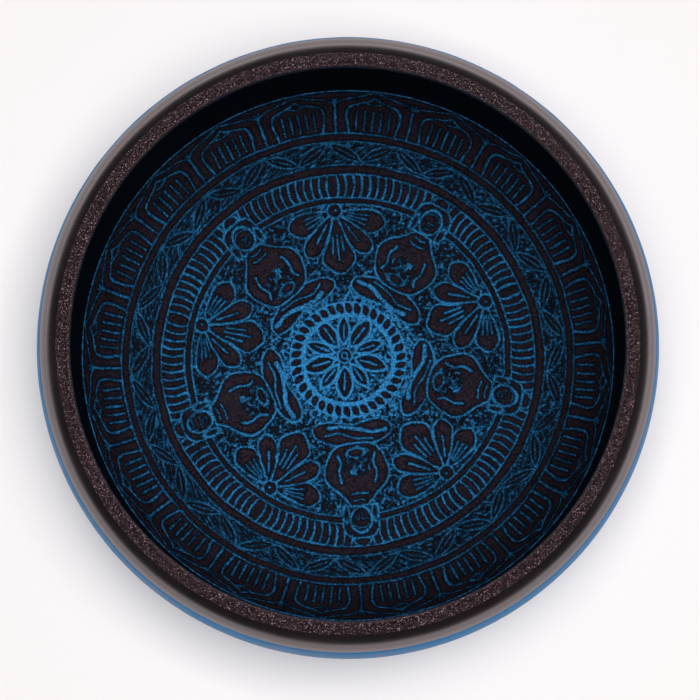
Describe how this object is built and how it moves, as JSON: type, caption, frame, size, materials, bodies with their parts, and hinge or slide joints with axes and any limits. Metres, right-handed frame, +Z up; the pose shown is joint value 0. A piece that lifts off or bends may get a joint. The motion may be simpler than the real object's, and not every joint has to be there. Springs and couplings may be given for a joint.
{
  "type": "singing bowl",
  "caption": "Cast metal singing bowl with an in-turned dark rim, satin blue outside and a raised dark ornament over blue on the inside floor.",
  "frame": {"origin": "centre of the flat foot's underside, on the table", "axes": "+Z up along the bowl's axis, out of its mouth; -Y faces the viewer"},
  "size_m": [0.15, 0.15, 0.0649],
  "materials": {
    "cast_brass": "cast, turned and left bare on the ground foot; seen nowhere else",
    "blue_enamel": "satin blue, sprayed; bright in the ornament's grooves",
    "dark_lacquer": "satin black-brown with a soft sheen",
    "lip_lacquer": "matt purple-brown with a fine grain",
    "relief_lacquer": "dark purple-brown, satin, rubbed over the raised cast ornament"
  },
  "bodies": {
    "root": {"bowl_casting": "cast_brass", "outer_blue_enamel": "blue_enamel", "shoulder_dark_lacquer": "dark_lacquer", "lip_dark_lacquer": "lip_lacquer", "inner_wall_lacquer": "dark_lacquer", "floor_blue_enamel": "blue_enamel", "centre_flower": "relief_lacquer", "rope_ring": "relief_lacquer", "seated_figures": "relief_lacquer", "fan_flowers": "relief_lacquer", "inner_plain_ring": "relief_lacquer", "dash_ring": "relief_lacquer", "middle_plain_ring": "relief_lacquer", "leaf_border": "relief_lacquer", "outer_plain_ring": "relief_lacquer", "lotus_border": "relief_lacquer", "border_bead": "relief_lacquer"}
  },
  "joints": []
}
